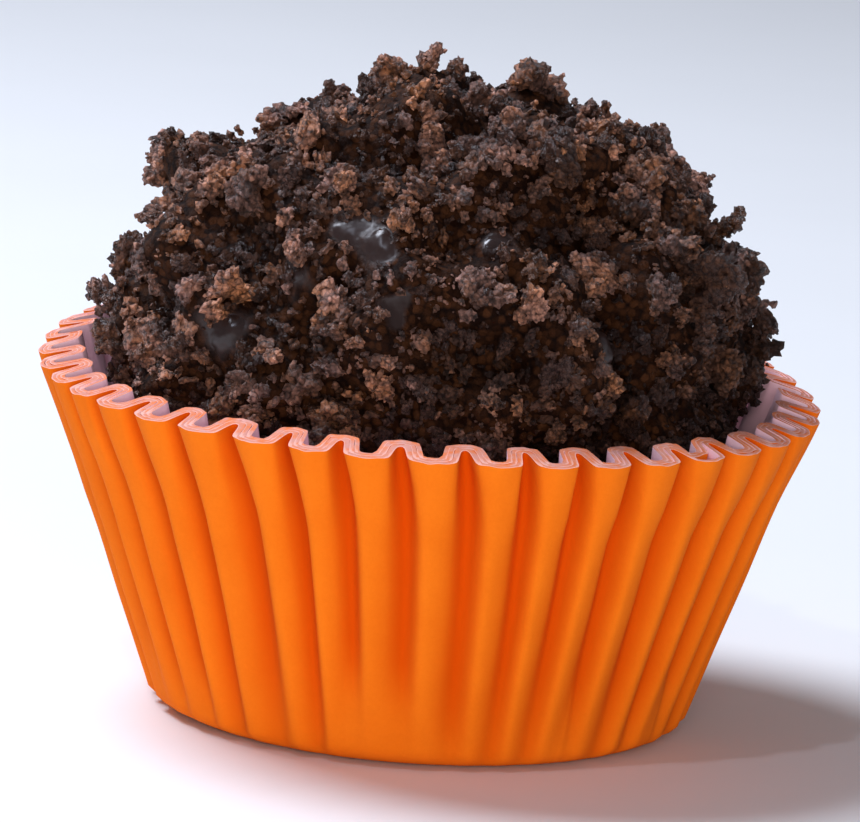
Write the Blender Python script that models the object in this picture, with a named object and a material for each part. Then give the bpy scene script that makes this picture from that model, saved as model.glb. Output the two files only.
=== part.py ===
"""A brigadeiro: a crumb-coated chocolate ball in a nest of three fluted paper cases.

Run with: blender --background --python part.py

The model is in metres, +Z up. Its origin is on the ground under the middle of the
case, and -Y is its front. The dimensions below are in millimetres and degrees.
"""

import math
import random

import bmesh
import bpy
import numpy as np
from mathutils import Vector, noise

MM = 0.001

# The nest of paper cases: three sheets pressed into one another.
RIM_RADIUS = 20.0  # to the outer face of the flutes' crests
RIM_HEIGHT = 16.85
HEEL_RADIUS = 14.1
HEEL_HEIGHT = 1.15
WAIST_HEIGHT = 8.6
FOOT_RADIUS = 12.3
SHEET_NAMES = ("outer", "middle", "inner")
SHEET_THICKNESS = 0.15
SHEET_GAP = 0.07
SHEET_PITCH = SHEET_THICKNESS + SHEET_GAP
NEST_THICKNESS = SHEET_PITCH * len(SHEET_NAMES) - SHEET_GAP
SHEET_STEP_UP = 0.1  # each sheet stands this much above the one around it
HEEL_STEP_UP = 0.6  # share of the sheets' offset that goes upwards at the heel

# The flutes: a soft square wave at the rim that fades to nothing at the foot.
FLUTES = 40
FLUTE_PITCH = 360.0 / FLUTES
FRONT_CREST = -88.7  # direction of the crest nearest the front, from +X
RIM_FLUTE_DEPTH = 1.6
HEEL_FLUTE_DEPTH = 0.35
RIM_WALL_SHARE = 0.06  # of the pitch that one side of a flute takes up
HEEL_WALL_SHARE = 0.19
CREST_SHARE = 0.53  # of what the sides leave
INNER_CREST_RISE = 0.45  # the paper stands higher where it folds inwards
FLUTE_SHIFT = 0.05  # unevenness, as a share of the pitch
FLUTE_DEPTH_SPREAD = 0.12
FLUTE_SEED = 7

# The rim is not quite level: it dips to the right, and the back left stands up.
RIM_LEAN = 0.2
BACK_LEFT_RISE = 1.0
BACK_LEFT = 148.0
BACK_LEFT_SPREAD = 32.0

# The ball, with its coat of crumbs.
BALL_RADIUS = 17.4
BALL_CENTRE_HEIGHT = 16.6
BALL_TOP = 34.6
TOUCHING_GAP = 0.3
FREE_ABOVE_RIM = 1.0  # from this height over the rim the crumbs may overhang, at 45 degrees
LUMP_SIZE = 4.6
LUMP_HEIGHT = 0.95
GRIT_SIZE = 2.4
GRIT_HEIGHT = 0.4
BALL_SUBDIVISIONS = 5
BALL_FACES_KEPT = 0.43

# Large chunks and hollows in the coat: direction from +X, elevation, how proud
# they stand and how wide they are.
CHUNKS = (
    (170.0, 40.0, 1.6, 3.0),
    (162.0, 58.0, -1.1, 3.0),
    (184.0, 6.0, 0.7, 3.0),
    (8.0, 36.0, 0.8, 3.2),
    (357.0, 8.0, 0.6, 3.0),
    (100.0, 86.0, 0.4, 4.0),
    (250.0, 42.0, 0.7, 3.2),
    (294.0, 48.0, 0.7, 3.2),
    (318.0, 22.0, 0.6, 2.8),
    (225.0, 20.0, 0.6, 2.8),
    (60.0, 50.0, 0.8, 3.2),
    (115.0, 30.0, 0.8, 3.0),
)


def unit_direction(azimuth, elevation):
    """The unit vector at these angles, in degrees."""
    turn, rise = math.radians(azimuth), math.radians(elevation)
    return Vector((math.cos(turn) * math.cos(rise), math.sin(turn) * math.cos(rise), math.sin(rise)))


def blend(start, end, share):
    return start + (end - start) * share


def finish(name, colour, roughness):
    """A Principled material. The colour is linear RGB."""
    material = bpy.data.materials.new(name)
    material.use_nodes = True
    shader = material.node_tree.nodes["Principled BSDF"]
    shader.inputs["Base Color"].default_value = (*colour, 1.0)
    shader.inputs["Roughness"].default_value = roughness
    shader.inputs["Metallic"].default_value = 0.0
    material.diffuse_color = (*colour, 1.0)
    return material


# --- paper cases ---------------------------------------------------------------


def flute_shifts():
    """Each flute's own turn, as a share of the pitch, and its own depth factor."""
    draw = random.Random(FLUTE_SEED)
    turns = [draw.uniform(-FLUTE_SHIFT, FLUTE_SHIFT) for _ in range(FLUTES)]
    depths = [1 + draw.uniform(-FLUTE_DEPTH_SPREAD, FLUTE_DEPTH_SPREAD) for _ in range(FLUTES)]
    return turns, depths


def flute_corners(wall_share):
    """Each corner of the fluted outline: (direction in degrees, inwards, depth factor).

    A flute has two corners on its crest and two on the fold inwards after it.
    """
    crest = (1 - 2 * wall_share) * CREST_SHARE / 2
    fold = (1 - 2 * wall_share) * (1 - CREST_SHARE) / 2
    corners = []
    for flute, (turn, depth) in enumerate(zip(*flute_shifts())):
        middle = FRONT_CREST + (flute + turn) * FLUTE_PITCH
        for offset, inwards in ((-crest, 0), (crest, 0), (0.5 - fold, 1), (0.5 + fold, 1)):
            corners.append((middle + offset * FLUTE_PITCH, inwards, depth))
    return corners


def crest_radius(height):
    """How far the crests' outer face stands from the axis, above the heel."""
    climb = (height - HEEL_HEIGHT) / (RIM_HEIGHT - HEEL_HEIGHT)
    return blend(HEEL_RADIUS, RIM_RADIUS, climb)


def flute_depth(height):
    climb = (height - HEEL_HEIGHT) / (RIM_HEIGHT - HEEL_HEIGHT)
    return blend(HEEL_FLUTE_DEPTH, RIM_FLUTE_DEPTH, climb)


def nest_outline(height, radius, depth):
    """The line through the middle of the nest at this height, corner by corner."""
    climb = max(0.0, (height - HEEL_HEIGHT) / (RIM_HEIGHT - HEEL_HEIGHT))
    corners = flute_corners(blend(HEEL_WALL_SHARE, RIM_WALL_SHARE, climb))
    points = []
    for direction, inwards, factor in corners:
        reach = radius - NEST_THICKNESS / 2 - depth * factor * inwards
        turn = math.radians(direction)
        points.append((reach * math.cos(turn), reach * math.sin(turn)))
    return np.array(points)


def inset(outline, distance):
    """The closed outline moved inwards by this distance, with mitred corners."""
    along = np.roll(outline, -1, axis=0) - outline
    along /= np.linalg.norm(along, axis=1, keepdims=True)
    outwards = np.column_stack((along[:, 1], -along[:, 0]))
    before = np.roll(outwards, 1, axis=0)
    mitre = (before + outwards) / (1 + (before * outwards).sum(axis=1, keepdims=True))
    return outline - distance * mitre


def rim_height(direction):
    """The height of the outer sheet's edge on a crest in this direction."""
    lean = -RIM_LEAN * math.cos(math.radians(direction))
    away = (direction - BACK_LEFT + 180.0) % 360.0 - 180.0
    return RIM_HEIGHT + lean + BACK_LEFT_RISE * math.exp(-((away / BACK_LEFT_SPREAD) ** 2))


def rim_edge(level):
    """The height of one sheet's edge at each corner."""
    return [
        rim_height(direction) + INNER_CREST_RISE * inwards + level * SHEET_STEP_UP
        for direction, inwards, _ in flute_corners(RIM_WALL_SHARE)
    ]


def sheet_face(distance, level):
    """The rings of points of one face of a sheet, this far in from the nest's outside."""
    inwards = distance - NEST_THICKNESS / 2
    foot = nest_outline(0.0, FOOT_RADIUS, 0.0)
    heel = inset(nest_outline(HEEL_HEIGHT, HEEL_RADIUS, HEEL_FLUTE_DEPTH), inwards)
    waist_radius, waist_depth = crest_radius(WAIST_HEIGHT), flute_depth(WAIST_HEIGHT)
    waist = inset(nest_outline(WAIST_HEIGHT, waist_radius, waist_depth), inwards)
    rim = inset(nest_outline(RIM_HEIGHT, RIM_RADIUS, RIM_FLUTE_DEPTH), inwards)
    corners = len(foot)
    return [
        np.column_stack((foot, [distance] * corners)),
        np.column_stack((heel, [HEEL_HEIGHT + HEEL_STEP_UP * distance] * corners)),
        np.column_stack((waist, [WAIST_HEIGHT] * corners)),
        np.column_stack((rim, rim_edge(level))),
    ]


def extrude_ring(bm, ring):
    """Extrudes a closed ring of vertices and returns the new ring in the same order."""
    edges = [bm.edges.get((ring[i - 1], ring[i])) for i in range(len(ring))]
    made = bmesh.ops.extrude_edge_only(bm, edges=edges)["geom"]
    fresh = {item for item in made if isinstance(item, bmesh.types.BMVert)}
    following = []
    for corner in ring:
        others = [edge.other_vert(corner) for edge in corner.link_edges]
        following.append(next(other for other in others if other in fresh))
    return following


def place_ring(ring, points):
    for corner, point in zip(ring, points):
        corner.co = Vector(point) * MM


def split_band(bm, lower, upper):
    """Cuts each face between two rings along the same diagonal, so nested sheets never cross."""
    for i, corner in enumerate(lower):
        across = upper[(i + 1) % len(upper)]
        face = next(face for face in corner.link_faces if across in face.verts)
        bmesh.utils.face_split(face, corner, across)


def build_sheet(name, level, material):
    """A paper case: a disc whose edge is extruded up the wall, over the rim and back down."""
    outer = sheet_face(level * SHEET_PITCH, level)
    inner = sheet_face(level * SHEET_PITCH + SHEET_THICKNESS, level)
    bm = bmesh.new()
    disc = bmesh.ops.create_circle(bm, cap_ends=True, radius=FOOT_RADIUS * MM, segments=len(outer[0]))
    ring = disc["verts"]
    place_ring(ring, outer[0])
    for points in outer[1:]:
        below, ring = ring, extrude_ring(bm, ring)
        place_ring(ring, points)
        split_band(bm, below, ring)
    ring = extrude_ring(bm, ring)
    place_ring(ring, inner[-1])
    for points in inner[-2::-1]:
        above, ring = ring, extrude_ring(bm, ring)
        place_ring(ring, points)
        split_band(bm, ring, above)
    bm.faces.new(ring)
    bmesh.ops.recalc_face_normals(bm, faces=bm.faces[:])
    return new_object(name, bm, material)


def new_object(name, bm, material):
    mesh = bpy.data.meshes.new(name)
    bm.to_mesh(mesh)
    bm.free()
    mesh.materials.append(material)
    obj = bpy.data.objects.new(name, mesh)
    bpy.data.collections["brigadeiro"].objects.link(obj)
    return obj


# --- ball ------------------------------------------------------------------------


def coat_relief(direction):
    """How far the crumb coat stands out or in, in this direction."""
    point = direction * BALL_RADIUS
    lumps = noise.noise(point / LUMP_SIZE) * 2 * LUMP_HEIGHT
    grit = noise.noise(point / GRIT_SIZE + Vector((31.0, 7.0, 13.0))) * 2 * GRIT_HEIGHT
    relief = lumps + grit
    for azimuth, elevation, proud, width in CHUNKS:
        middle = unit_direction(azimuth, elevation)
        away = direction.angle(middle) * BALL_RADIUS / width
        relief += proud * math.exp(-away * away)
    return relief


def room_in_case(height, direction):
    """The largest radius that stays clear of the inner sheet at this height and direction."""
    levels = (HEEL_HEIGHT, WAIST_HEIGHT, RIM_HEIGHT)
    heights = (HEEL_HEIGHT, WAIST_HEIGHT, rim_height(direction) + INNER_CREST_RISE)
    folds = [crest_radius(level) - flute_depth(level) * (1 + FLUTE_DEPTH_SPREAD) for level in levels]
    overhang = max(0.0, height - rim_height(direction) - FREE_ABOVE_RIM)
    return float(np.interp(height, heights, folds)) - NEST_THICKNESS - TOUCHING_GAP + overhang


def ball_point(direction):
    """Where the ball's surface lies in this direction from its centre."""
    reach = BALL_RADIUS + coat_relief(direction)
    point = Vector((0.0, 0.0, BALL_CENTRE_HEIGHT)) + direction * reach
    point.z = min(max(point.z, NEST_THICKNESS + TOUCHING_GAP), BALL_TOP)
    across = math.hypot(point.x, point.y)
    turn = math.degrees(math.atan2(point.y, point.x))
    room = room_in_case(point.z, turn)
    if across > room:
        point.x *= room / across
        point.y *= room / across
    return point


def build_ball(name, material):
    """A sphere moved out and in by its crumbs, flat where it rests in the case."""
    bm = bmesh.new()
    bmesh.ops.create_icosphere(bm, subdivisions=BALL_SUBDIVISIONS, radius=1.0)
    for vertex in bm.verts:
        vertex.co = ball_point(vertex.co.normalized()) * MM
    for face in bm.faces:
        face.smooth = True
    ball = new_object(name, bm, material)
    thinned = ball.modifiers.new("thinned", "DECIMATE")
    thinned.ratio = BALL_FACES_KEPT
    return ball


def main():
    for obj in list(bpy.data.objects):
        bpy.data.objects.remove(obj)
    collection = bpy.data.collections.new("brigadeiro")
    bpy.context.scene.collection.children.link(collection)
    orange = (0.77, 0.12, 0.007)
    chocolate = (0.045, 0.023, 0.017)
    for level, sheet in enumerate(SHEET_NAMES):
        build_sheet(f"paper_case_{sheet}", level, finish(f"paper_{sheet}", orange, roughness=0.75))
    build_ball("chocolate_ball", finish("chocolate", chocolate, roughness=0.5))


main()
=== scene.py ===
"""How the brigadeiro looks: crumbs stuck in chocolate paste, in a nest of fluted paper cases.

Lengths are in metres, and the sweet's own are written as a number of MM. Angles are in degrees.
The origin is on the ground under the middle of the paper case, +Z is up and -Y is the front.
"""

import math
import random

import bpy
import numpy as np
from mathutils import Matrix, Vector, noise
from mathutils.bvhtree import BVHTree


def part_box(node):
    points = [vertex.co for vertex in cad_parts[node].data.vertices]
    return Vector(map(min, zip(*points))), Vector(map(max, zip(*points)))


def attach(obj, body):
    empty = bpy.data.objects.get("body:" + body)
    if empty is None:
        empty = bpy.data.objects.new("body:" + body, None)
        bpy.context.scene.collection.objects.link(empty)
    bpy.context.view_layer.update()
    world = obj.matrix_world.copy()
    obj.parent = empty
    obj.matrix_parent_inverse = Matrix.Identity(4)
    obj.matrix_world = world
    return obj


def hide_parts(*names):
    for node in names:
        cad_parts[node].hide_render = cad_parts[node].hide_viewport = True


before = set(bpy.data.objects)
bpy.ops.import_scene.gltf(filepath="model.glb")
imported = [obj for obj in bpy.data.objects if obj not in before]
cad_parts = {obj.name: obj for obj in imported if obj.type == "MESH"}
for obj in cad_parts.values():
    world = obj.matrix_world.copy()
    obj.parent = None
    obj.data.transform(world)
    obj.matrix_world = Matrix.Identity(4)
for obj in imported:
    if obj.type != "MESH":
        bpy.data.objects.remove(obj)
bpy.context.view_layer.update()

MM = 0.001

# --- sizes ---------------------------------------------------------------------------

BALL_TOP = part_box("chocolate_ball")[1].z

# The outer sheet's cup, and how the sheets are laid one inside the other.
RIM_RADIUS = 19.70 * MM
RIM_HEIGHT = 16.85 * MM
HEEL_RADIUS = 13.97 * MM
HEEL_HEIGHT = 1.15 * MM
FOOT_RADIUS = 11.4 * MM
BODY_TO_RIGHT = 0.38 * MM
SHEET_THICKNESS = 0.21 * MM
SHEET_PITCH = 0.22 * MM
NEST_THICKNESS = 0.65 * MM
SHEET_STEP_UP = 0.05 * MM

# The flutes. A shift is a share of the pitch, and a spread is a share of the depth.
FLUTES = 40
FLUTE_PITCH = 360.0 / FLUTES
FRONT_CREST = -88.7
RIM_FLUTE_DEPTH = 1.6 * MM
HEEL_FLUTE_DEPTH = 0.42 * MM
FLUTES_BEGIN = 0.9 * MM
INNER_CREST_RISE = 0.45 * MM
FLUTE_SHIFT = 0.1
FLUTE_SWAY = 0.05
SWAY_PER_FLUTE = 1.7
FLUTE_DEPTH_SPREAD = 0.12
FLUTE_SEED = 67935

# How a flute's form changes up the wall: shares of the climb, and the value at each of them.
SQUARENESS = ((0.0, 0.5, 0.75, 0.92, 1.0), (0.6, 0.9, 1.3, 4.0, 6.5))
CREST_WIDENING = ((0.0, 0.7, 1.0), (-0.25, -0.1, 0.18))
NEST_WIDENING = ((0.0, 0.5, 0.8, 1.0), (0.0, 0.05, 0.4, 1.0))
FLUTE_LEAN = ((0.0, 0.5, 0.8, 1.0), (0.3, 0.6, 0.5, 0.0))
CREST_BULGE = 0.2

# Low on the wall each flute fades: where that ends, over what share of the climb, what is left.
FADE_HEIGHTS = (-0.5, 0.02)
FADE_LENGTH = 0.4
FADED_SHARE = 0.16

# The rim: its lean, where it stands higher (direction, half width and height), its flare at the
# left, the middle and the right of the front view, and its ragged cut edge, which is read far
# apart in the noise for each sheet.
RIM_LEAN = 0.2 * MM
RIM_RISES = ((148.0, 32.0, 1.0 * MM), (45.0, 30.0, 0.9 * MM))
RIM_FLARES = (0.27 * MM, 0.1 * MM, 0.27 * MM)
FLARE_FROM = 0.7
CUT_SLANT = 0.06 * MM
RAGGED_EDGE = 0.05 * MM
TEAR_SIZE = 0.5 * MM
TEARS_APART = 7.3

# The slack of the paper: soft waves, and the gaps between the sheets near the rim, one of
# which is wide.
WAVE_SIZE = 4.5 * MM
WAVE_DEPTH_IN_MM = 0.12
WAVES_FROM = 0.4
SLACK = 0.08 * MM
PARTED_AT = -43.0
PARTED_SPREAD = 5.0
PARTED_BY = 0.9 * MM

# How finely a sheet is divided, with the rings crowded towards the rim, what counts as a crease
# in it, and how deep a fold is, as a share of the deepest, to have the whole painted shade of the
# folds.
POINTS_PER_FLUTE = 30
WALK_STEPS = 400
HEEL_RINGS = 5
WALL_RINGS = 18
RING_CROWDING = 1.35
PAPER_CREASE = 50.0
FULL_FOLD_SHADE = 0.5

# The ball, and how far the paste lies under the solid's surface.
BALL_MIDDLE = Vector((0.0, 0.0, 16.6 * MM))
BALL_RADIUS = 17.4 * MM
PASTE_DIVISIONS = 7
PASTE_SOFTNESS = 0.6
SOFTENING_ROUNDS = 12
COAT_DEPTH = 2.1 * MM
COAT_BOTTOM = 12.5 * MM
COAT_FADE = 5 * MM
CLEAR_OF_PAPER = 0.1 * MM
CLEAR_OF_RIM = 0.25 * MM

# The paste's own relief: a crust of sunk crumbs, larger clumps, and the crumbs' heaps in part.
CRUST_GRAIN_SIZE = 1.0 * MM
CRUST_DEPTH = 0.55 * MM
CRUST_LEVEL = 0.4
CLUMP_SIZE = 4.2 * MM
CLUMP_HEIGHT = 2.3 * MM
HEAP_IN_PASTE = 0.5

# The bare patches: how far they stand up, how their edges wander (the offsets are where each
# part of the wandering is read in the noise), and how far out their crumbs are cleared.
BARE_RISE = 0.45 * MM
PATCH_EDGE_SIZE = 1.3 * MM
PATCH_EDGE_DRIFT = 0.9 * MM
DRIFT_OFFSETS = (Vector((31.0, 0.0, 0.0)), Vector((0.0, 57.0, 0.0)), Vector((0.0, 0.0, 83.0)))
PATCH_CLEARING = 1.6

# One crumb, modelled about 2 across: its lumps, the faces broken off each, and its relief.
LUMP_DIVISIONS = 3
LUMP_REACH = 0.6
LUMP_RADII = (0.38, 0.7)
LUMP_STRETCH = (0.7, 1.25)
LUMP_BREAKS = 3
BREAK_DEPTHS = (0.3, 0.5)
CRUMB_VOXEL = 0.07
ROUGH_SIZE = 0.6
ROUGH_DEPTH = 0.5
GRAIN_DEPTH = 0.75
DEEPEST_GRAIN = 0.36
CRUMB_CREASE = 42.0

# How the crumbs are strewn: the tries for each, where they drop from as a share of the ball's
# radius, how much likelier small ones are, and how far each is squashed or drawn out.
CRUMB_SEED = 11
TRIES_PER_CRUMB = 30
DROP_FROM = 1.5
SMALLER_LIKELIER = 1.6
CRUMB_STRETCH = (0.6, 1.15)

# How light a crumb is: a few are dry and pale, and the rest spread from least to most about
# the middle one. Painted shade darkens them in the gaps, and painted light lightens them towards the
# upper left, where the light falls.
PALE_SHARE = 0.06
PALE_TONES = (0.7, 0.95)
LEAST_MOST_MIDDLE_TONE = (0.1, 0.8, 0.45)
EVEN_TONE = 0.86
PAINTED_SIDE_LIGHT = 0.62
PAINTED_LIGHT_SIDE = Vector((-0.95, 0.0, 1.55))
FULL_PAINTED_SHADE_DEPTH = -3.2 * MM
NO_PAINTED_SHADE_DEPTH = -0.5 * MM

# The floor and the camera.
FLOOR_SIZE = 4.0
VIEW_ELEVATION = 11.3
VIEW_ROLL = 3.8
VIEW_DISTANCE = 400 * MM
VIEW_WIDTH = 43.72 * MM
AIM = Vector((0.12 * MM, 0.0, 15.5 * MM))


def blend(start, end, share):
    return start + (end - start) * share


def smooth_step(low, high, value):
    share = np.clip((value - low) / (high - low), 0.0, 1.0)
    return share * share * (3 - 2 * share)


# --- working on a piece ----------------------------------------------------------------


def nothing_selected():
    bpy.ops.object.select_all(action="DESELECT")


def apply(modifier):
    """Applies a modifier of the active piece."""
    bpy.ops.object.modifier_apply(modifier=modifier.name)


def points_of(piece):
    points = np.empty(len(piece.data.vertices) * 3)
    piece.data.vertices.foreach_get("co", points)
    return points.reshape(-1, 3)


def move_points(piece, points):
    piece.data.vertices.foreach_set("co", points.astype(np.float32).ravel())
    piece.data.update()


def give_values(piece, name, values):
    """Stores a number for each point of the mesh, for its material to read."""
    attribute = piece.data.attributes.new(name, "FLOAT", "POINT")
    attribute.data.foreach_set("value", np.asarray(values, np.float32))


def triangles_of(piece):
    mesh = piece.data
    mesh.calc_loop_triangles()
    corners = np.empty(len(mesh.loop_triangles) * 3, np.int32)
    mesh.loop_triangles.foreach_get("vertices", corners)
    return corners.reshape(-1, 3)


# --- materials -----------------------------------------------------------------------

# Colours are linear red, green and blue. Where there are two, they are the darkest and lightest.
EDGE_PAPER = ((0.60, 0.225, 0.155), (0.62, 0.31, 0.27))
EDGE_STAIN = (0.70, 0.185, 0.065)
EDGE_LINE = (0.80, 0.44, 0.37)
WARM_CRUMB = ((0.012, 0.0035, 0.001), (0.56, 0.225, 0.100))
COOL_CRUMB = ((0.014, 0.005, 0.002), (0.48, 0.25, 0.198))
# Painted shade in the pits between a crumb's grains.
CRUMB_PIT_SHADE = (0.008, 0.003, 0.001)
WET_CHOCOLATE = (0.022, 0.010, 0.008)
BARE_PASTE = ((0.012, 0.006, 0.005), (0.030, 0.0155, 0.013))
# The crust: dark paste over sunk crumbs, darkened further as painted shade of the deep gaps, with
# painted shade in its pits.
CRUST_IN_PAINTED_SHADE = ((0.008, 0.002, 0.0005), (0.060, 0.021, 0.008))
CRUST_PIT_SHADE = (0.006, 0.002, 0.001)
TABLE = ((0.74, 0.74, 0.73), (0.78, 0.78, 0.77))

# Grains and fibres to the metre, and the depth of each material's bumps.
GRAINS_IN_CRUMB = 4200.0
GRAINS_IN_CRUST = 2600.0
FIBRES_IN_WALL = 5200.0
FIBRES_IN_EDGE = 9000.0
CRUMB_BUMPS = 0.2 * MM
PASTE_BUMPS = 0.16 * MM
WALL_BUMPS = 0.012 * MM
EDGE_BUMPS = 0.02 * MM

# Inside the groups: how far the grains are pushed about, how much finer the second grain is, the
# first one's part in the height, and the clouds in the paper: how many to a fibre, and their part.
GRAIN_DRIFT = 0.18 * MM
FINER_GRAINS = 2.7
GRAIN_SHARE = 0.65
CLOUDS_PER_FIBRE = 0.06
CLOUD_SHARE = 0.6


class Recipe:
    """A material's or a group's node tree, with short ways to add and join nodes."""

    def __init__(self, tree):
        self.tree = tree

    def add(self, kind, inputs=None, **settings):
        node = self.tree.nodes.new(kind)
        for name, value in settings.items():
            setattr(node, name, value)
        for name, value in (inputs or {}).items():
            self.feed(node.inputs[name], value)
        return node

    def feed(self, socket, value):
        if isinstance(value, bpy.types.NodeSocket):
            self.tree.links.new(value, socket)
        else:
            socket.default_value = value

    def maths(self, operation, first, second):
        return self.add("ShaderNodeMath", {0: first, 1: second}, operation=operation).outputs[0]

    def range(self, value, low, high, to_low=0.0, to_high=1.0):
        """Stretches low to high over to_low to to_high, and cuts off what lies past them."""
        node = self.add("ShaderNodeMapRange", {"Value": value})
        node.inputs["From Min"].default_value = low
        node.inputs["From Max"].default_value = high
        node.inputs["To Min"].default_value = to_low
        node.inputs["To Max"].default_value = to_high
        return node.outputs["Result"]

    def mix(self, share, first, second, blend_type="MIX"):
        """Mixes two colours, each of them a socket or a (red, green, blue)."""
        node = self.add("ShaderNodeMix", data_type="RGBA", blend_type=blend_type)
        self.feed(node.inputs["Factor"], share)
        for side, colour in (("A", first), ("B", second)):
            is_socket = isinstance(colour, bpy.types.NodeSocket)
            self.feed(node.inputs[side], colour if is_socket else (*colour, 1.0))
        return node.outputs["Result"]

    def between(self, share, first, second):
        """Mixes two numbers."""
        node = self.add("ShaderNodeMix", data_type="FLOAT")
        self.feed(node.inputs["Factor"], share)
        self.feed(node.inputs["A"], first)
        self.feed(node.inputs["B"], second)
        return node.outputs["Result"]

    def value_of(self, name):
        """Reads the number that give_values stored for each point."""
        return self.add("ShaderNodeAttribute", attribute_name=name).outputs["Fac"]

    def noise(self, vector, scale, detail=3.0, roughness=0.55):
        node = self.add("ShaderNodeTexNoise", {"Vector": vector, "Scale": scale})
        node.inputs["Detail"].default_value = detail
        node.inputs["Roughness"].default_value = roughness
        return node.outputs["Fac"]


def new_group(name, inputs, outputs):
    """An empty shader node group with these named sockets: (tree recipe, inputs, outputs)."""
    tree = bpy.data.node_groups.new(name, "ShaderNodeTree")
    for socket, kind in inputs:
        tree.interface.new_socket(name=socket, in_out="INPUT", socket_type=kind)
    for socket, kind in outputs:
        tree.interface.new_socket(name=socket, in_out="OUTPUT", socket_type=kind)
    recipe = Recipe(tree)
    return recipe, recipe.add("NodeGroupInput").outputs, recipe.add("NodeGroupOutput").inputs


def crumb_grain_group():
    """The baked grain of a crumb: little grains, pressed together, with pits between them."""
    recipe, given, made = new_group(
        "crumb_grain",
        (("Vector", "NodeSocketVector"), ("Grains per metre", "NodeSocketFloat")),
        (("Height", "NodeSocketFloat"), ("Pits", "NodeSocketFloat"), ("Grain tone", "NodeSocketFloat")),
    )
    vector, scale = given["Vector"], given["Grains per metre"]
    bent = recipe.add("ShaderNodeTexNoise", {"Vector": vector, "Scale": scale, "Detail": 2.0})
    drift = recipe.add("ShaderNodeVectorMath", {0: bent.outputs["Color"]}, operation="SCALE")
    drift.inputs["Scale"].default_value = GRAIN_DRIFT
    place = recipe.add("ShaderNodeVectorMath", {0: vector, 1: drift.outputs[0]}, operation="ADD")
    cells = recipe.add("ShaderNodeTexVoronoi", {"Vector": place.outputs[0], "Scale": scale})
    cells.inputs["Randomness"].default_value = 1.0
    distance = cells.outputs["Distance"]
    finer = recipe.maths("MULTIPLY", scale, FINER_GRAINS)
    fine = recipe.noise(vector, finer, detail=4.0, roughness=0.65)
    grains = recipe.maths("MULTIPLY", recipe.maths("SUBTRACT", 1.0, distance), GRAIN_SHARE)
    recipe.feed(made["Height"], recipe.maths("ADD", grains, fine))
    recipe.feed(made["Pits"], recipe.range(distance, 0.42, 0.85))
    tone = recipe.add("ShaderNodeSeparateColor", {"Color": cells.outputs["Color"]})
    recipe.feed(made["Grain tone"], tone.outputs["Red"])
    return recipe.tree


def paper_tooth_group():
    """The tooth of matte paper: short fibres that lighten, darken and lift it a little."""
    recipe, given, made = new_group(
        "paper_tooth",
        (("Vector", "NodeSocketVector"), ("Fibres per metre", "NodeSocketFloat")),
        (("Height", "NodeSocketFloat"), ("Shade", "NodeSocketFloat")),
    )
    vector, scale = given["Vector"], given["Fibres per metre"]
    tooth = recipe.noise(vector, scale, detail=5.0, roughness=0.7)
    cloud = recipe.noise(vector, recipe.maths("MULTIPLY", scale, CLOUDS_PER_FIBRE), detail=3.0)
    recipe.feed(made["Height"], tooth)
    both = recipe.between(CLOUD_SHARE, tooth, cloud)
    recipe.feed(made["Shade"], recipe.range(both, 0.35, 0.65))
    return recipe.tree


GROUPS = {"crumb_grain": crumb_grain_group(), "paper_tooth": paper_tooth_group()}


def new_material(name, roughness):
    """A Principled material: (material, recipe, shader, object coordinates)."""
    material = bpy.data.materials.new(name)
    material.use_nodes = True
    recipe = Recipe(material.node_tree)
    shader = material.node_tree.nodes["Principled BSDF"]
    shader.inputs["Roughness"].default_value = roughness
    coordinates = recipe.add("ShaderNodeTexCoord").outputs["Object"]
    return material, recipe, shader, coordinates


def use_group(recipe, name, **inputs):
    """Adds a group and feeds its inputs, whose names have spaces for the underscores."""
    node = recipe.add("ShaderNodeGroup", node_tree=GROUPS[name])
    for socket, value in inputs.items():
        recipe.feed(node.inputs[socket.replace("_", " ")], value)
    return node.outputs


def bump(recipe, shader, height, depth):
    node = recipe.add("ShaderNodeBump", {"Height": height, "Distance": depth, "Strength": 1.0})
    recipe.feed(shader.inputs["Normal"], node.outputs["Normal"])


def paper_material(name, light, dark, painted_fold_shade):
    """Matte paper, with painted shade in the folds, where light goes from wall to wall: its colour
    deepens there.
    """
    material, recipe, shader, place = new_material(name, 0.9)
    tooth = use_group(recipe, "paper_tooth", Vector=place, Fibres_per_metre=FIBRES_IN_WALL)
    flat = recipe.mix(tooth["Shade"], dark, light)
    # Painted shade: the folds' darker colour, mixed in by the fold value.
    recipe.feed(shader.inputs["Base Color"], recipe.mix(recipe.value_of("fold"), flat, painted_fold_shade))
    shader.inputs["Specular IOR Level"].default_value = 0.1
    bump(recipe, shader, tooth["Height"], WALL_BUMPS)
    return material


def cut_edge_material():
    """The cut edge: pale paper stained by the print, with a paler line along its outer side."""
    material, recipe, shader, place = new_material("cut_paper_edge", 0.9)
    tooth = use_group(recipe, "paper_tooth", Vector=place, Fibres_per_metre=FIBRES_IN_EDGE)
    streak = recipe.range(recipe.noise(place, scale=1500.0, detail=4.0, roughness=0.7), 0.4, 0.62)
    stained = recipe.mix(streak, recipe.mix(tooth["Shade"], *EDGE_PAPER), EDGE_STAIN)
    line = recipe.range(recipe.value_of("across"), 0.15, 0.4, 0.75, 0.0)
    recipe.feed(shader.inputs["Base Color"], recipe.mix(line, stained, EDGE_LINE))
    shader.inputs["Specular IOR Level"].default_value = 0.15
    bump(recipe, shader, tooth["Height"], EDGE_BUMPS)
    return material


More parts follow.
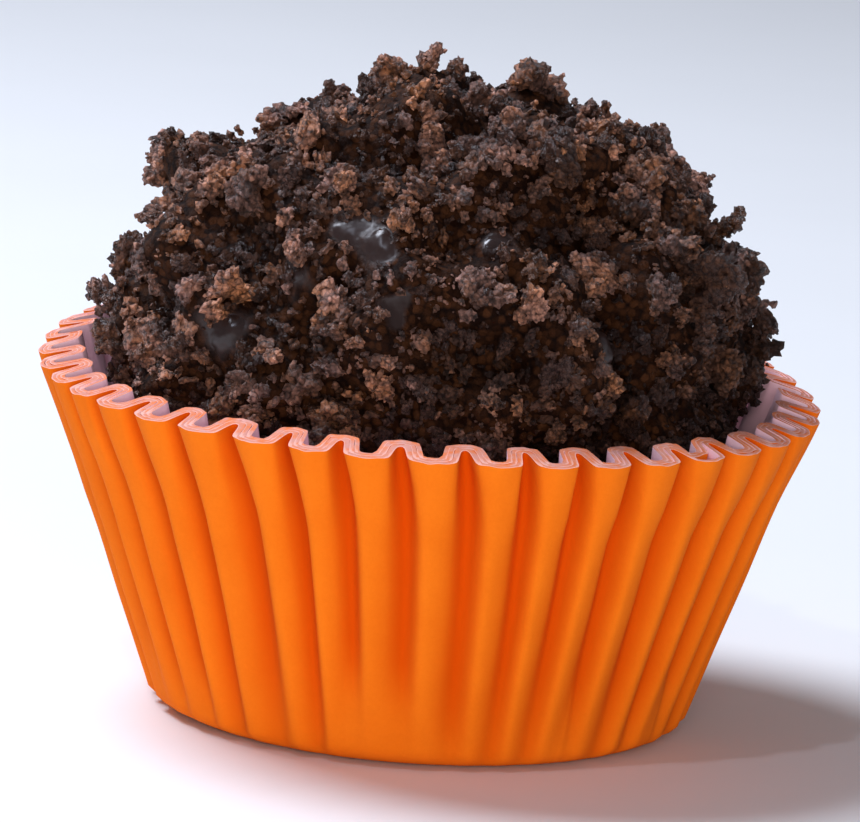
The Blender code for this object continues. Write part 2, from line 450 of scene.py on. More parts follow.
def crumb_material():
    """Dark biscuit crumb. Each crumb has its own tone, with painted shade in the gaps and painted light
    towards the upper left, and its own share of wet chocolate.
    """
    material, recipe, shader, place = new_material("biscuit_crumb", 0.6)
    tone = recipe.value_of("crumb_tone")
    grain = use_group(recipe, "crumb_grain", Vector=place, Grains_per_metre=GRAINS_IN_CRUMB)
    warm = recipe.mix(tone, *WARM_CRUMB)
    cool = recipe.mix(tone, *COOL_CRUMB)
    dry = recipe.mix(recipe.range(recipe.noise(place, scale=380.0, detail=2.0), 0.35, 0.65), warm, cool)
    speck = recipe.range(grain["Grain tone"], 0.0, 1.0, 0.5, 1.5)
    grey = recipe.add("ShaderNodeCombineColor", {0: speck, 1: speck, 2: speck}).outputs[0]
    speckled = recipe.mix(1.0, dry, grey, "MULTIPLY")
    # Painted shade in the pits between the grains.
    pit_shaded = recipe.mix(recipe.maths("MULTIPLY", grain["Pits"], 0.9), speckled, CRUMB_PIT_SHADE)
    wet = recipe.maths("MULTIPLY", recipe.value_of("crumb_wet"), 0.35)
    patches = recipe.maths("ADD", recipe.noise(place, scale=420.0, detail=3.0), wet)
    smear = recipe.range(patches, 0.62, 0.78)
    coated = recipe.mix(recipe.maths("MULTIPLY", smear, 0.75), pit_shaded, WET_CHOCOLATE)
    recipe.feed(shader.inputs["Base Color"], coated)
    recipe.feed(shader.inputs["Roughness"], recipe.range(smear, 0.0, 1.0, 0.5, 0.24))
    shader.inputs["Specular IOR Level"].default_value = 0.6
    bump(recipe, shader, grain["Height"], CRUMB_BUMPS)
    return material


def paste_material():
    """Chocolate paste: smooth and shiny where it is bare, elsewhere a dull crust of sunk crumbs with
    painted shade, darkest in its pits.
    """
    material, recipe, shader, place = new_material("chocolate_paste", 0.3)
    smooth = recipe.range(recipe.value_of("bare"), 0.25, 0.6)
    soft = recipe.noise(place, scale=330.0, detail=4.0)
    paste = recipe.mix(soft, *BARE_PASTE)
    grain = use_group(recipe, "crumb_grain", Vector=place, Grains_per_metre=GRAINS_IN_CRUST)
    # Painted shade: the crust is darkened, and darker still in its pits.
    crust = recipe.mix(grain["Pits"], recipe.mix(grain["Grain tone"], *CRUST_IN_PAINTED_SHADE), CRUST_PIT_SHADE)
    recipe.feed(shader.inputs["Base Color"], recipe.mix(smooth, crust, paste))
    shine = recipe.range(soft, 0.3, 0.7, 0.18, 0.4)
    recipe.feed(shader.inputs["Roughness"], recipe.between(smooth, 0.7, shine))
    recipe.feed(shader.inputs["Specular IOR Level"], recipe.between(smooth, 0.12, 0.5))
    ripples = recipe.noise(place, scale=800.0, detail=2.0)
    bump(recipe, shader, recipe.between(smooth, grain["Height"], ripples), PASTE_BUMPS)
    return material


# --- paper cases -----------------------------------------------------------------------


def wall_stations():
    """(radius, height, share of the climb) up one face of a plain cup, from the foot to the rim."""
    stations = [(FOOT_RADIUS, 0.0, 0.0)]
    for ring in range(1, HEEL_RINGS + 1):
        turn = math.radians(90.0 * ring / HEEL_RINGS)
        radius = blend(FOOT_RADIUS, HEEL_RADIUS, math.sin(turn))
        stations.append((radius, HEEL_HEIGHT * (1 - math.cos(turn)), 0.0))
    for ring in range(1, WALL_RINGS + 1):
        climb = 1 - (1 - ring / WALL_RINGS) ** RING_CROWDING
        radius, height = blend(HEEL_RADIUS, RIM_RADIUS, climb), blend(HEEL_HEIGHT, RIM_HEIGHT, climb)
        stations.append((radius, height, climb))
    return stations


def flute_draws():
    """Each flute's turn (a share of the pitch), depth, gap between its sheets and fading height."""
    draw = random.Random(FLUTE_SEED)
    turns = [draw.uniform(-FLUTE_SHIFT, FLUTE_SHIFT) for _ in range(FLUTES)]
    depths = [1 + draw.uniform(-FLUTE_DEPTH_SPREAD, FLUTE_DEPTH_SPREAD) for _ in range(FLUTES)]
    # Cubed, so that few flutes have a wide gap.
    parts = [draw.random() ** 3 for _ in range(FLUTES)]
    fades = [draw.uniform(*FADE_HEIGHTS) for _ in range(FLUTES)]
    return turns, depths, parts, fades


def round_the_case(values, phase):
    """Values given at each flute's crest, blended all the way round."""
    return np.interp(phase % FLUTES, np.arange(FLUTES + 1), [*values, values[0]])


def fold_share(phase, climb, inset):
    """0 on a flute's crest and 1 in the fold between two flutes, with soft corners."""
    pitch = 2 * math.pi * np.interp(climb, (0.0, 1.0), (HEEL_RADIUS, RIM_RADIUS)) / FLUTES
    for_nest = 2 * math.pi * (NEST_THICKNESS / 2 - inset) / pitch
    widened = np.interp(climb, *CREST_WIDENING) + for_nest * np.interp(climb, *NEST_WIDENING)
    square = np.interp(climb, *SQUARENESS)
    angle = 2 * math.pi * phase
    leant = angle + np.interp(climb, *FLUTE_LEAN) * (np.cos(angle) - 1)
    wave = np.tanh(square * (np.cos(leant) + widened))
    crest = np.tanh(square * (1 + widened))
    fold = np.tanh(square * (widened - 1))
    bulge = (1 - np.cos(leant)) / 2
    return blend((crest - wave) / (crest - fold), bulge, CREST_BULGE)


def evenly_spaced(share, level):
    """Where round a flute each point of a sheet goes, so that they lie evenly along its rim."""
    phase = np.linspace(0.0, 1.0, WALK_STEPS + 1)
    inset = np.full_like(phase, level * SHEET_PITCH)
    inwards = RIM_FLUTE_DEPTH * fold_share(phase, np.ones_like(phase), inset)
    around = phase * 2 * math.pi * RIM_RADIUS / FLUTES
    steps = np.hypot(np.diff(inwards), np.diff(around))
    walked = np.concatenate(([0.0], np.cumsum(steps)))
    return np.interp(share, walked / walked[-1], phase)


def soft_waves(points):
    """The slack of thin paper, from -1 to 1: the same waves in every sheet of the nest."""
    return np.array([noise.noise(Vector(point) / WAVE_SIZE) for point in points])


def crimp(points, stations, level):
    """Presses flutes into a plain cup: its points moved, and how much painted shade each one gets from
    how deep in a fold it is.
    """
    turns, depths, parts, fades = flute_draws()
    climb = np.array([station[2] for station in stations])
    inset = np.array([station[3] for station in stations])
    on_top = np.array([station[4] for station in stations])
    radius = np.hypot(points[:, 0], points[:, 1])
    phase = (np.degrees(np.arctan2(points[:, 1], points[:, 0])) - FRONT_CREST) / FLUTE_PITCH
    phase = np.floor(phase) + evenly_spaced(phase % 1.0, level)
    sway = FLUTE_SWAY * np.sin(phase * SWAY_PER_FLUTE) * (1 - climb)
    turn = phase + round_the_case(turns, phase) + sway
    angle = np.radians(turn * FLUTE_PITCH + FRONT_CREST)
    fold = fold_share(phase, climb, inset)
    # The folds lie half a pitch from the crests.
    fade = round_the_case(fades, phase + 0.5)
    depth = np.interp(climb, (0.0, 1.0), (HEEL_FLUTE_DEPTH, RIM_FLUTE_DEPTH))
    depth = depth * round_the_case(depths, phase + 0.5) * smooth_step(0.0, FLUTES_BEGIN, points[:, 2])
    depth = depth * blend(FADED_SHARE, 1.0, smooth_step(fade, fade + FADE_LENGTH, climb))
    waves = soft_waves(points) * WAVE_DEPTH_IN_MM * MM * smooth_step(0.0, WAVES_FROM, climb)
    parted = np.exp(-(((np.degrees(angle) - PARTED_AT) / PARTED_SPREAD) ** 2)) * PARTED_BY
    parting = (parted + SLACK * round_the_case(parts, phase)) * climb**4 * (1 - fold) * min(level, 1)
    flare = np.interp(-np.cos(angle), (-1.0, 0.0, 1.0), RIM_FLARES)
    flare = flare * smooth_step(FLARE_FROM, 1.0, climb)
    radius = radius - depth * fold - parting + flare + np.minimum(waves, 0.0)
    height = points[:, 2] + rim_offset(np.degrees(angle), fold, level, on_top) * climb**2
    # Painted shade: the folds' darker colour, full where a fold is deep.
    fold_shade_share = fold * smooth_step(0.0, FULL_FOLD_SHADE, depth / RIM_FLUTE_DEPTH)
    across = radius * np.cos(angle) + BODY_TO_RIGHT * (1 - climb)
    return np.column_stack((across, radius * np.sin(angle), height)), fold_shade_share


def rim_rise(direction):
    """How much higher than RIM_HEIGHT the outer sheet's crests stand in each direction."""
    rise = -RIM_LEAN * np.cos(np.radians(direction))
    for middle, spread, height in RIM_RISES:
        away = (direction - middle + 180.0) % 360.0 - 180.0
        rise = rise + height * np.exp(-((away / spread) ** 2))
    return rise


def rim_offset(direction, fold, level, on_top):
    """How much higher than RIM_HEIGHT a sheet's cut edge stands, from crest to fold."""
    ragged = RAGGED_EDGE * torn(direction, level)
    stepped = level * SHEET_STEP_UP + CUT_SLANT * on_top
    return rim_rise(direction) + INNER_CREST_RISE * fold + stepped + ragged


def torn(direction, level):
    """The raggedness of one sheet's cut edge, from -1 to 1 round the case."""
    places = np.radians(direction) * RIM_RADIUS / TEAR_SIZE
    return np.array([noise.noise(Vector((place, TEARS_APART * level, 0.0))) for place in places])


def draw_up(ring_from, ring_to):
    """Extrudes the selected ring of edges and moves it from one radius and height to the next."""
    grow = ring_to[0] / ring_from[0]
    climb = ring_to[1] - ring_from[1]
    bpy.ops.mesh.extrude_edges_move(TRANSFORM_OT_translate={"value": (0, 0, climb)})
    bpy.ops.transform.resize(value=(grow, grow, 1.0), center_override=(0, 0, 0))


def sheet_rings(level):
    """(radius, height, climb, inset, on top) of each ring, up one face and down the other."""
    outer, inner = level * SHEET_PITCH, level * SHEET_PITCH + SHEET_THICKNESS
    rings = []
    for inset, stations in ((outer, wall_stations()), (inner, wall_stations()[::-1])):
        for radius, height, climb in stations:
            lift = inset * (1 - smooth_step(0.0, HEEL_HEIGHT, height))
            rings.append((radius - inset, height + lift, climb, inset, float(inset > outer)))
    return rings


def plain_cup(name, rings):
    """A disc drawn up into a cup, over the rim and down inside."""
    radius, height = rings[0][:2]
    nothing_selected()
    bpy.ops.mesh.primitive_circle_add(
        vertices=FLUTES * POINTS_PER_FLUTE, radius=radius, fill_type="NGON", location=(0, 0, height)
    )
    piece = bpy.context.object
    piece.name = piece.data.name = name
    bpy.ops.object.transform_apply(location=True, rotation=True, scale=True)
    bpy.ops.object.mode_set(mode="EDIT")
    bpy.ops.mesh.select_all(action="SELECT")
    bpy.ops.mesh.region_to_loop()
    for below, above in zip(rings, rings[1:]):
        draw_up(below, above)
    bpy.ops.mesh.edge_face_add()
    bpy.ops.mesh.select_all(action="SELECT")
    bpy.ops.mesh.normals_make_consistent(inside=False)
    bpy.ops.object.mode_set(mode="OBJECT")
    return piece


def paper_case(name, level, finishes):
    """One sheet of the nest: a plain cup, crimped and painted. Level 0 is the outermost."""
    rings = sheet_rings(level)
    rings_a_side = len(rings) // 2
    piece = plain_cup(name, rings)
    points = points_of(piece)
    profile = np.column_stack((np.hypot(points[:, 0], points[:, 1]), points[:, 2]))
    known = np.array([ring[:2] for ring in rings])
    ring_of = np.linalg.norm(profile[:, None] - known[None], axis=2).argmin(axis=1)
    crimped, fold = crimp(points, [rings[i] for i in ring_of], level)
    move_points(piece, crimped)
    # The fold value carries the painted shade of the folds.
    give_values(piece, "fold", fold)
    give_values(piece, "across", ring_of >= rings_a_side)
    for finish in finishes:
        piece.data.materials.append(finish)
    paint_faces(piece, ring_of, rings_a_side)
    bpy.ops.object.shade_smooth_by_angle(angle=math.radians(PAPER_CREASE))
    return piece


def paint_faces(piece, ring_of, rings_a_side):
    """Gives the outside, the inside and the cut edge of a sheet their own finish."""
    for face in piece.data.polygons:
        rings = ring_of[list(face.vertices)]
        if rings.max() < rings_a_side:
            face.material_index = 0
        elif rings.min() >= rings_a_side:
            face.material_index = 1
        else:
            face.material_index = 2


# --- the ball --------------------------------------------------------------------------


def unit_direction(azimuth, elevation):
    turn, rise = math.radians(azimuth), math.radians(elevation)
    return Vector((math.cos(rise) * math.cos(turn), math.cos(rise) * math.sin(turn), math.sin(rise)))


def seen_from_front(right, up):
    """The direction from the ball's middle to what shows there in the front view, in mm."""
    tilt = math.radians(VIEW_ELEVATION)
    near = math.sqrt((BALL_RADIUS / MM) ** 2 - right * right - up * up)
    backwards = up * math.sin(tilt) - near * math.cos(tilt)
    upwards = up * math.cos(tilt) + near * math.sin(tilt)
    return Vector((right, backwards, upwards)).normalized()


def nearness(direction, middle, width):
    """1 at the middle of a place on the ball, falling to 0 a few widths away from it."""
    return math.exp(-((direction.angle(middle) * BALL_RADIUS / width) ** 2))


# Where the paste shows between the crumbs: mm right of the ball's middle and above it in the
# front view, and the patch's half width in mm.
BARE_PATCHES = [
    (seen_from_front(right, up), width * MM)
    for right, up, width in (
        (-4.8, 8.2, 1.3),
        (-3.2, 7.3, 1.2),
        (-7.5, 5.6, 1.0),
        (3.5, 8.1, 1.0),
        (9.5, 2.7, 1.2),
        (-11.4, 2.3, 1.5),
        (-2.0, 4.2, 0.8),
    )
]


def bareness(direction):
    """1 in the middle of a bare patch and 0 away from them all, with an uneven edge between."""
    place = direction * BALL_RADIUS / PATCH_EDGE_SIZE
    drift = Vector([noise.noise(place + apart) for apart in DRIFT_OFFSETS])
    direction = direction + drift * PATCH_EDGE_DRIFT / BALL_RADIUS
    return max(nearness(direction, middle, width) for middle, width in BARE_PATCHES)


# Where the crumbs are heaped up, or thin: the direction in degrees, round from +X and up, how
# much higher they stand there and the half width of the place, in mm.
HEAPS = [
    (unit_direction(azimuth, elevation), more * MM, width * MM)
    for azimuth, elevation, more, width in (
        (182, 24, 1.5, 4.5),
        (0, 30, 1.2, 4.0),
        (358, 4, 1.4, 3.2),
        (180, 39, 0.7, 2.2),
        (180, 51, -0.8, 2.2),
        (178, 61, -1.0, 2.5),
        (0, 84, -0.9, 4.0),
    )
]


def heap(direction):
    """How much higher the crumbs stand in one direction than the plain ball's outline."""
    return sum(more * nearness(direction, middle, width) for middle, more, width in HEAPS)


def smooth_core(name):
    """A ball drawn in to the solid's surface and softened."""
    nothing_selected()
    bpy.ops.mesh.primitive_ico_sphere_add(
        subdivisions=PASTE_DIVISIONS, radius=BALL_RADIUS, location=BALL_MIDDLE
    )
    piece = bpy.context.object
    piece.name = piece.data.name = name
    bpy.ops.object.transform_apply(location=True, rotation=True, scale=True)
    fitted = piece.modifiers.new("fitted", "SHRINKWRAP")
    fitted.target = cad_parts["chocolate_ball"]
    fitted.wrap_method = "PROJECT"
    fitted.use_negative_direction = True
    apply(fitted)
    softened = piece.modifiers.new("softened", "SMOOTH")
    softened.factor = PASTE_SOFTNESS
    softened.iterations = SOFTENING_ROUNDS
    apply(softened)
    return piece


def paste_ball(finish):
    """The ball under the crumbs: the solid's own shape, drawn in by the coat's uneven depth."""
    piece = smooth_core("chocolate_paste_ball")
    points = points_of(piece)
    bare = np.empty(len(points))
    for i, point in enumerate(points):
        out = (Vector(point) - BALL_MIDDLE).normalized()
        under_crumbs = float(smooth_step(COAT_BOTTOM - COAT_FADE, COAT_BOTTOM, point[2]))
        clump = CLUMP_HEIGHT * noise.noise(Vector(point) / CLUMP_SIZE)
        bare[i] = bareness(out)
        nearest_grain = noise.voronoi(Vector(point) / CRUST_GRAIN_SIZE)[0][0]
        crust = CRUST_DEPTH * (CRUST_LEVEL - nearest_grain**2) * (1 - bare[i])
        depth = COAT_DEPTH - HEAP_IN_PASTE * heap(out) - BARE_RISE * bare[i]
        depth = depth - clump * (1 - bare[i]) - crust
        points[i] = Vector(point) - out * depth * under_crumbs
    # Within 1 mm of the axis there is room in any case, and nothing to divide by.
    across = np.maximum(np.hypot(points[:, 0], points[:, 1]), MM)
    points[:, :2] *= np.minimum(1.0, room_in_case(points) / across)[:, None]
    move_points(piece, points)
    give_values(piece, "bare", bare)
    piece.data.materials.append(finish)
    bpy.ops.object.shade_smooth()
    return piece


# The kinds of crumb, from the largest to the smallest, as they fall on the ball:
# shapes  how many are modelled, to be strewn again and again
# lumps   fewest and most lumps in one
# grains  the size of its grains, as a share of its radius
# faces   its triangles
# count   how many are strewn
# sizes   smallest and largest radius, in mm
# proud   how far its middle lies over what it falls on, as shares of its radius
# over    how far its tip may stand over the ball's outline, in mm
# apart   how far two of them keep apart, as a share of both radii
# bare    the share that stays in a bare patch
# rolls   the share that rolls off when it falls on another crumb
CRUMB_KINDS = {
    "biscuit_chunks": dict(
        shapes=14, lumps=(4, 7), grains=0.27, faces=1500,
        count=130, sizes=(1.25, 2.5), proud=(0.25, 0.6), over=(-0.8, 0.2),
        apart=0.62, bare=0.0, rolls=0.0,
    ),
    "coarse_crumbs": dict(
        shapes=20, lumps=(3, 6), grains=0.42, faces=300,
        count=640, sizes=(0.65, 1.25), proud=(0.0, 0.5), over=(-0.8, 0.2),
        apart=0.6, bare=0.02, rolls=0.3,
    ),
    "medium_crumbs": dict(
        shapes=18, lumps=(2, 4), grains=0.7, faces=84,
        count=2200, sizes=(0.3, 0.66), proud=(0.0, 0.55), over=(-1.2, 0.2),
        apart=0.55, bare=0.06, rolls=0.6,
    ),
    "small_crumbs": dict(
        shapes=12, lumps=(1, 3), grains=1.0, faces=44,
        count=2200, sizes=(0.15, 0.32), proud=(-0.2, 0.4), over=(0.0, 0.2),
        apart=0.4, bare=0.12, rolls=0.6,
    ),
    "fine_crumbs": dict(
        shapes=6, lumps=(1, 1), grains=1.5, faces=20,
        count=2000, sizes=(0.06, 0.14), proud=(-0.2, 0.3), over=(0.4, 0.5),
        apart=0.0, bare=0.15, rolls=0.4,
    ),
}


def rough_texture(name, size):
    """Uneven bumps and dents."""
    texture = bpy.data.textures.new(name, "CLOUDS")
    texture.noise_scale = size
    texture.noise_depth = 2
    return texture


def grainy_texture(name, size):
    """Round grains pressed together, high in the middle of each."""
    texture = bpy.data.textures.new(name, "VORONOI")
    texture.distance_metric = "DISTANCE_SQUARED"
    texture.noise_scale = size
    texture.noise_intensity = 2.0
    return texture


def random_direction(draw):
    return Vector([draw.gauss(0, 1) for _ in range(3)]).normalized()


def random_turn(draw):
    """A rotation matrix about an axis in any direction."""
    axis = random_direction(draw)
    return np.array(Matrix.Rotation(draw.uniform(0, 2 * math.pi), 3, axis))


def broken_lump(draw, reach):
    """A squashed ball with flat faces broken off it, within reach of the crumb's middle."""
    place = [draw.uniform(-reach, reach) for _ in range(3)]
    nothing_selected()
    bpy.ops.mesh.primitive_ico_sphere_add(
        subdivisions=LUMP_DIVISIONS, radius=draw.uniform(*LUMP_RADII), location=place
    )
    bpy.ops.transform.resize(value=[draw.uniform(*LUMP_STRETCH) for _ in range(3)])
    bpy.ops.object.mode_set(mode="EDIT")
    for _ in range(LUMP_BREAKS):
        facing = random_direction(draw)
        bpy.ops.mesh.select_all(action="SELECT")
        bpy.ops.mesh.bisect(
            plane_co=Vector(place) + facing * draw.uniform(*BREAK_DEPTHS),
            plane_no=facing,
            use_fill=True,
            clear_outer=True,
        )
    bpy.ops.object.mode_set(mode="OBJECT")
    return bpy.context.object


def crumb_shape(draw, kind, rough, gritty):
    """One crumb about 2 across, as points and triangles: lumps fused, pitted and thinned."""
    lumps = draw.randint(*kind["lumps"])
    reach = LUMP_REACH if lumps > 1 else 0.0
    stuck = [broken_lump(draw, reach) for _ in range(lumps)]
    for lump in stuck:
        lump.select_set(True)
    if lumps > 1:
        bpy.ops.object.join()
    piece = bpy.context.object
    bpy.ops.object.transform_apply(location=True, rotation=True, scale=True)
    fused = piece.modifiers.new("fused", "REMESH")
    fused.mode = "VOXEL"
    fused.voxel_size = CRUMB_VOXEL
    apply(fused)
    grain_depth = min(GRAIN_DEPTH * kind["grains"], DEEPEST_GRAIN)
    for texture, strength in ((rough, ROUGH_DEPTH), (gritty, -grain_depth)):
        dented = piece.modifiers.new("dented", "DISPLACE")
        dented.texture = texture
        dented.strength = strength
        dented.mid_level = 0.5
        apply(dented)
    thinned = piece.modifiers.new("thinned", "DECIMATE")
    thinned.ratio = min(1.0, kind["faces"] / len(triangles_of(piece)))
    apply(thinned)
    points, corners = points_of(piece), triangles_of(piece)
    bpy.data.objects.remove(piece)
    points -= points.mean(axis=0)
    points /= np.linalg.norm(points, axis=1).max()
    return points, corners


def model_crumbs(kind, draw):
    """The shapes that one kind of crumb is strewn from."""
    rough = rough_texture("rough", ROUGH_SIZE)
    gritty = grainy_texture("gritty", kind["grains"])
    return [crumb_shape(draw, kind, rough, gritty) for _ in range(kind["shapes"])]


def strewing_direction(draw):
    """A direction from the ball's middle, even over the part that isn't deep in the case."""
    lowest = (COAT_BOTTOM - BALL_MIDDLE.z) / BALL_RADIUS
    rise = draw.uniform(lowest, 1.0)
    turn = draw.uniform(0, 2 * math.pi)
    flat = math.sqrt(1 - rise * rise)
    return Vector((flat * math.cos(turn), flat * math.sin(turn), rise))


def room_in_case(points):
    """The radius inside which each point stays clear of the inner sheet."""
    height = points[:, 2]
    direction = np.degrees(np.arctan2(points[:, 1], points[:, 0]))
    fold_top = RIM_HEIGHT + rim_rise(direction) + INNER_CREST_RISE + CLEAR_OF_RIM
    fold_at_rim = RIM_RADIUS - NEST_THICKNESS - RIM_FLUTE_DEPTH * (1 + FLUTE_DEPTH_SPREAD)
    fold_at_heel = HEEL_RADIUS - NEST_THICKNESS - HEEL_FLUTE_DEPTH
    climb = (height - HEEL_HEIGHT) / (RIM_HEIGHT + INNER_CREST_RISE - HEEL_HEIGHT)
    above = np.maximum(0.0, height - fold_top)
    return blend(fold_at_heel, fold_at_rim, np.clip(climb, 0.0, 1.0)) - CLEAR_OF_PAPER + above


def fit_in_case(points):
    """The crumb's points, moved together until they clear the paper and the solid's top."""
    across = np.hypot(points[:, 0], points[:, 1])
    excess = (across - room_in_case(points)).max()
    if excess > 0:
        inwards = points[:, :2].mean(axis=0)
        points[:, :2] -= inwards / np.linalg.norm(inwards) * excess
    too_high = points[:, 2].max() - BALL_TOP
    if too_high > 0:
        points[:, 2] -= too_high
    return points


def crumb_tone(draw):
    """How light a crumb is before its place counts."""
    if draw.random() < PALE_SHARE:
        return draw.uniform(*PALE_TONES)
    return draw.triangular(*LEAST_MOST_MIDDLE_TONE)


def strew(name, under, paste_faces, outline, finish):
    """Drops one kind of crumb on what is there already, and joins the crumbs into one piece.

    The first paste_faces faces of `under` are paste and the others are crumbs. The crumbs keep
    near the outline, which is the surface of the solid ball.
    """
    kind = CRUMB_KINDS[name]
    draw = random.Random(f"{name} {CRUMB_SEED}")
    shapes = model_crumbs(kind, draw)
    middles, radii = np.empty((0, 3)), np.empty(0)
    all_points, all_corners, looks, count = [], [], [], 0
    for _ in range(kind["count"] * TRIES_PER_CRUMB):
        if len(radii) >= kind["count"]:
            break
        out = strewing_direction(draw)
        size = blend(*kind["sizes"], draw.random() ** SMALLER_LIKELIER) * MM
        if draw.random() > kind["bare"] and draw.random() < bareness(out) * PATCH_CLEARING:
            continue
        above = BALL_MIDDLE + out * BALL_RADIUS * DROP_FROM
        spot, _, face, _ = under.ray_cast(above, -out)
        edge, _, _, _ = outline.ray_cast(above, -out)
        if spot is None or edge is None:
            continue
        if face >= paste_faces and draw.random() < kind["rolls"]:
            continue
        points, corners = shapes[draw.randrange(len(shapes))]
        stretch = [draw.uniform(*CRUMB_STRETCH) for _ in range(3)]
        turned = points * stretch * size @ random_turn(draw).T
        tip = (turned @ np.array(out)).max()
        highest = (edge - BALL_MIDDLE).length + heap(out) + draw.uniform(*kind["over"]) * MM - tip
        wanted = (spot - BALL_MIDDLE).length + size * draw.uniform(*kind["proud"])
        middle = np.array(BALL_MIDDLE + out * min(wanted, highest))
        gaps = np.linalg.norm(middles - middle, axis=1)
        if (gaps < kind["apart"] * (radii + size)).any():
            continue
        placed = fit_in_case(turned + middle)
        # Painted shade and light in the tone: a crumb deep under the outline is darkened, and one
        # towards the upper left is lightened.
        over_outline = (middle - np.array(edge)) @ np.array(out) + tip
        painted_shade_factor = float(smooth_step(FULL_PAINTED_SHADE_DEPTH, NO_PAINTED_SHADE_DEPTH, over_outline))
        tone = crumb_tone(draw) * (EVEN_TONE + PAINTED_SIDE_LIGHT * out.dot(PAINTED_LIGHT_SIDE)) * painted_shade_factor
        wetness = draw.random()
        all_points.append(placed)
        all_corners.append(corners + count)
        looks.append(np.tile((tone, wetness), (len(placed), 1)))
        count += len(placed)
        middles = np.vstack((middles, middle))
        radii = np.append(radii, size)
    return join_crumbs(name, np.vstack(all_points), np.vstack(all_corners), np.vstack(looks), finish)


def join_crumbs(name, points, corners, looks, finish):
    """All the crumbs of a kind as one piece, with each one's tone, painted shade and light included,
    and wetness on its points.
    """
    mesh = bpy.data.meshes.new(name)
    mesh.vertices.add(len(points))
    mesh.vertices.foreach_set("co", points.astype(np.float32).ravel())
    mesh.loops.add(corners.size)
    mesh.loops.foreach_set("vertex_index", corners.astype(np.int32).ravel())
    mesh.polygons.add(len(corners))
    mesh.polygons.foreach_set("loop_start", np.arange(0, corners.size, 3, dtype=np.int32))
    mesh.update(calc_edges=True)
    mesh.validate()
    mesh.materials.append(finish)
    piece = bpy.data.objects.new(name, mesh)
    bpy.context.scene.collection.objects.link(piece)
    give_values(piece, "crumb_tone", looks[:, 0])
    give_values(piece, "crumb_wet", looks[:, 1])
    nothing_selected()
    piece.select_set(True)
    bpy.context.view_layer.objects.active = piece
    bpy.ops.object.shade_smooth_by_angle(angle=math.radians(CRUMB_CREASE))
    return piece


def surface_of(pieces):
    """The pieces' faces, one piece after another, for rays to be cast at."""
    points, corners, count = [], [], 0
    for piece in pieces:
        points.append(points_of(piece))
        corners.append(triangles_of(piece) + count)
        count += len(points[-1])
    return BVHTree.FromPolygons(np.vstack(points).tolist(), np.vstack(corners).tolist())


# --- floor, light and camera -------------------------------------------------------------

ROOM_COLOUR = (0.84, 0.87, 1.0)
ROOM_STRENGTH = 0.2


def pale_floor():
    """The table it stands on."""
    nothing_selected()
    bpy.ops.mesh.primitive_plane_add(size=FLOOR_SIZE, location=(0, 0, 0))
    floor = bpy.context.object
    floor.name = floor.data.name = "pale_floor"
    material, recipe, shader, place = new_material("pale_table", 0.7)
    cloud = recipe.noise(place, scale=30.0, detail=3.0)
    recipe.feed(shader.inputs["Base Color"], recipe.mix(cloud, *TABLE))
    floor.data.materials.append(material)


def soft_light(name, place, size, power, colour, mirrored=True):
    """A round lamp, aimed at the ball. It shows in shiny things only where it is mirrored."""
    data = bpy.data.lights.new(name, "AREA")
    data.shape = "DISK"
    data.size = size
    data.energy = power
    data.color = colour
    light = bpy.data.objects.new(name, data)
    light.location = place
    light.visible_glossy = mirrored
    light.rotation_mode = "QUATERNION"
    light.rotation_quaternion = (BALL_MIDDLE - Vector(place)).to_track_quat("-Z", "Y")
    bpy.context.scene.collection.objects.link(light)


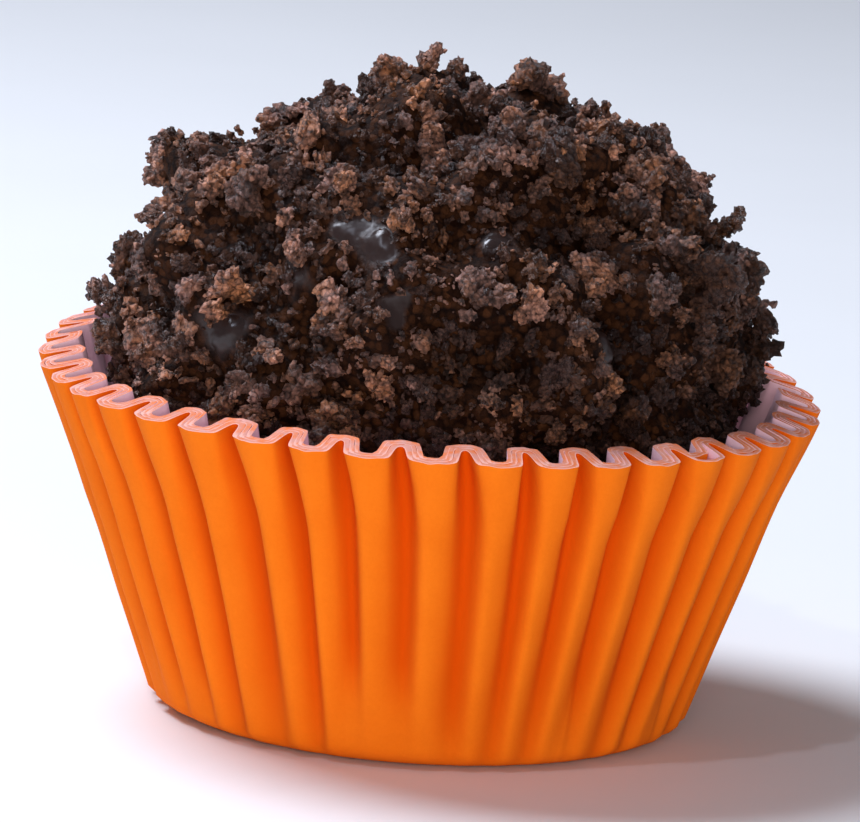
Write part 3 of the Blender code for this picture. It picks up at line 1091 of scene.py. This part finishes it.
def studio():
    """A pale room, a large cool light from behind, a warm fill in front and a lamp for glints."""
    world = bpy.data.worlds.new("soft_room")
    bpy.context.scene.world = world
    world.use_nodes = True
    background = world.node_tree.nodes["Background"]
    background.inputs["Color"].default_value = (*ROOM_COLOUR, 1.0)
    background.inputs["Strength"].default_value = ROOM_STRENGTH
    soft_light(
        "window", place=(-0.17, 0.08, 0.33), size=0.2, power=2.1, colour=(0.80, 0.86, 1.0)
    )
    soft_light(
        "front_fill", place=(0.03, -0.42, 0.03), size=0.30, power=1.68, colour=(1.0, 0.95, 0.90),
        mirrored=False,
    )
    soft_light(
        "small_lamp", place=(-0.10, -0.20, 0.32), size=0.015, power=0.16, colour=(0.75, 0.82, 1.0)
    )
    bpy.context.scene.view_settings.view_transform = "Standard"


def camera():
    """A far-off view of the front, from a little above and rolled a little."""
    data = bpy.data.cameras.new("view")
    data.sensor_width = 36.0
    data.lens = data.sensor_width * VIEW_DISTANCE / VIEW_WIDTH
    data.clip_start, data.clip_end = 0.01, 10.0
    view = bpy.data.objects.new("view", data)
    tilt = math.radians(VIEW_ELEVATION)
    back = Vector((0.0, -math.cos(tilt), math.sin(tilt)))
    view.location = AIM + back * VIEW_DISTANCE
    level = (-back).to_track_quat("-Z", "Y").to_matrix()
    rolled = Matrix.Rotation(math.radians(VIEW_ROLL), 3, back) @ level
    view.rotation_mode = "QUATERNION"
    view.rotation_quaternion = rolled.to_quaternion()
    bpy.context.scene.collection.objects.link(view)
    bpy.context.scene.camera = view


# --- the whole ---------------------------------------------------------------------------


def dress_cases():
    """Three sheets, each orange outside and white inside."""
    # Each paper's third colour is the painted shade in its folds.
    finishes = (
        paper_material(
            "orange_paper",
            light=(0.885, 0.190, 0.008),
            dark=(0.83, 0.165, 0.006),
            painted_fold_shade=(0.66, 0.075, 0.0003),
        ),
        paper_material(
            "white_paper",
            light=(0.95, 0.65, 0.70),
            dark=(0.92, 0.59, 0.64),
            painted_fold_shade=(0.93, 0.56, 0.66),
        ),
        cut_edge_material(),
    )
    for level, sheet in enumerate(("outer", "middle", "inner")):
        piece = paper_case(f"{sheet}_fluted_paper", level, finishes)
        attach(piece, "root")
        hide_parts(f"paper_case_{sheet}")


def dress_ball():
    """The paste, and on it each kind of crumb in turn, which falls on those before it."""
    paste = paste_ball(paste_material())
    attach(paste, "root")
    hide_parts("chocolate_ball")
    crumb = crumb_material()
    outline = surface_of([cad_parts["chocolate_ball"]])
    pieces = [paste]
    for name in CRUMB_KINDS:
        piece = strew(name, surface_of(pieces), len(triangles_of(paste)), outline, crumb)
        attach(piece, "root")
        pieces.append(piece)


def main():
    nothing_selected()
    dress_cases()
    dress_ball()
    pale_floor()
    studio()
    camera()


main()
